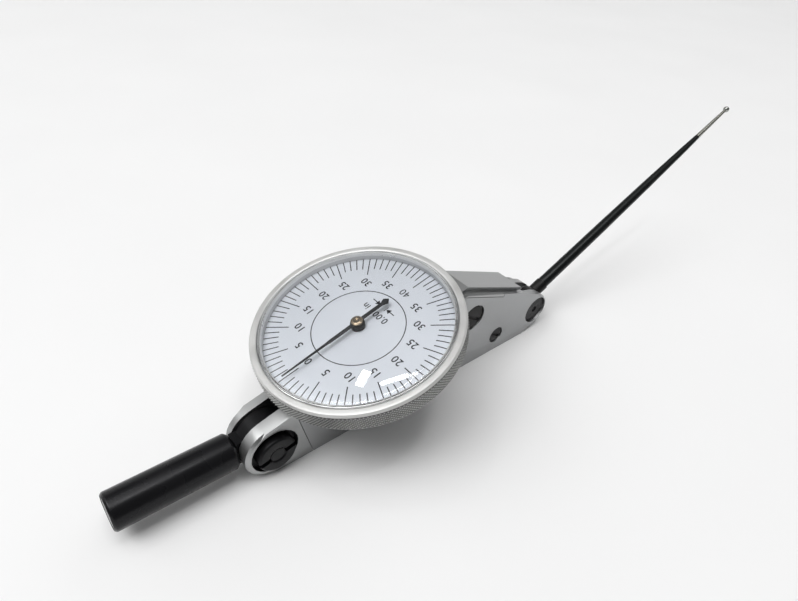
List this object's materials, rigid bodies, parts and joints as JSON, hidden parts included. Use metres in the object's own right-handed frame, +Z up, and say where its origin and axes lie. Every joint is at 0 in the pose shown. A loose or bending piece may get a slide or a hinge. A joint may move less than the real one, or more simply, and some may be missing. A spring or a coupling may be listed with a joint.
{
  "type": "lever dial test indicator",
  "caption": "Lever dial test indicator: slim body with inclined round dial, knurled turning bezel, swivelling rear stem, dovetail rail and a long ball-tipped stylus geared to the pointer.",
  "frame": {"origin": "on the flat foot of the body, in the middle of its width", "axes": "+X from the mounting stem towards the stylus, +Z up out of the foot, +Y across the narrow body to the side away from the cover plate"},
  "size_m": [0.165, 0.038, 0.0389],
  "materials": {
    "satin_chrome": "satin chrome plate over steel",
    "bright_chrome": "polished",
    "black_oxide": "black oxide, oiled",
    "pointer_black": "semi-matt black paint",
    "ground_steel": "fine ground",
    "brass": "turned",
    "ruby": "polished synthetic ruby",
    "dial_white": "satin white lacquer",
    "blued_spring": "blued",
    "clear_crystal": "clear, polished"
  },
  "bodies": {
    "body": {"body_frame": "satin_chrome", "side_cover": "satin_chrome", "cover_screw_upper": "black_oxide", "cover_screw_lower": "black_oxide", "pivot_screw_near": "black_oxide", "pivot_screw_far": "black_oxide", "stop_pin_low": "ground_steel", "stop_pin_high": "ground_steel", "dowel_rear": "ground_steel", "jewel_near": "ruby", "jewel_far": "ruby", "clamp_bolt": "black_oxide", "bezel_snap_ring": "ground_steel", "hairspring_stud": "brass", "upper_bridge": "brass", "bridge_screw_near": "ground_steel", "bridge_screw_far": "ground_steel", "lower_bridge": "brass", "upper_jewel": "ruby", "lower_jewel": "ruby", "foot_screw": "ground_steel"},
    "lever": {"pivot_axle": "ground_steel", "lever_arm": "ground_steel", "friction_disc": "black_oxide", "sector_gear": "brass", "lever_rivet_front": "ground_steel", "lever_rivet_rear": "ground_steel"},
    "stylus": {"stylus_hub": "black_oxide", "stylus_shaft": "black_oxide", "stylus_tip": "ground_steel", "stylus_ball": "bright_chrome"},
    "crown_arbor": {"lever_pinion_arbor": "ground_steel", "crown_wheel": "brass"},
    "pointer_arbor": {"centre_arbor": "ground_steel", "pointer": "pointer_black", "pointer_boss": "black_oxide", "boss_cap": "brass", "hairspring_collet": "brass", "hairspring": "blued_spring"},
    "bezel": {"bezel_ring": "satin_chrome", "crystal_ring": "bright_chrome", "crystal": "clear_crystal", "dial_plate": "dial_white", "dial_retainer": "ground_steel"},
    "stem": {"stem_rod": "black_oxide", "stem_tongue": "black_oxide"},
    "clamp_nut": {"clamp_nut": "black_oxide"}
  },
  "joints": [
    {"name": "lever_pivot", "type": "hinge", "parent": "body", "child": "lever", "pos_m": [0.0371, 0, 0.00535], "axis": [0, 1, 0], "range_deg": [-1.9, 1.9], "stiffness_Nm_per_rad": 0.3},
    {"name": "stylus_swivel", "type": "hinge", "parent": "lever", "child": "stylus", "pos_m": [0.0371, 0, 0.00535], "axis": [0, 1, 0], "range_deg": [-65.3, 114.7]},
    {"name": "arbor_spin", "type": "hinge", "parent": "body", "child": "crown_arbor", "pos_m": [-0.00736, 0, 0.00843], "axis": [0, 1, 0], "range_deg": [-57.5, 57.5]},
    {"name": "pointer_spin", "type": "hinge", "parent": "body", "child": "pointer_arbor", "pos_m": [-0.0106, 0, 0.0205], "axis": [-0.2588, 0, 0.9659], "range_deg": [-457, 457], "deforming": ["hairspring"]},
    {"name": "bezel_turn", "type": "hinge", "parent": "body", "child": "bezel", "pos_m": [-0.0106, 0, 0.0205], "axis": [-0.2588, 0, 0.9659], "continuous": true},
    {"name": "stem_swivel", "type": "hinge", "parent": "body", "child": "stem", "pos_m": [-0.02995, 0, 0.00535], "axis": [0, 1, 0], "range_deg": [-95, 70]},
    {"name": "clamp_nut_turn", "type": "hinge", "parent": "body", "child": "clamp_nut", "pos_m": [-0.02995, 0, 0.00535], "axis": [0, 1, 0], "continuous": true}
  ],
  "couplings": [
    {"joint": "arbor_spin", "follows": "lever_pivot", "ratio": -30},
    {"joint": "pointer_spin", "follows": "lever_pivot", "ratio": -240}
  ]
}
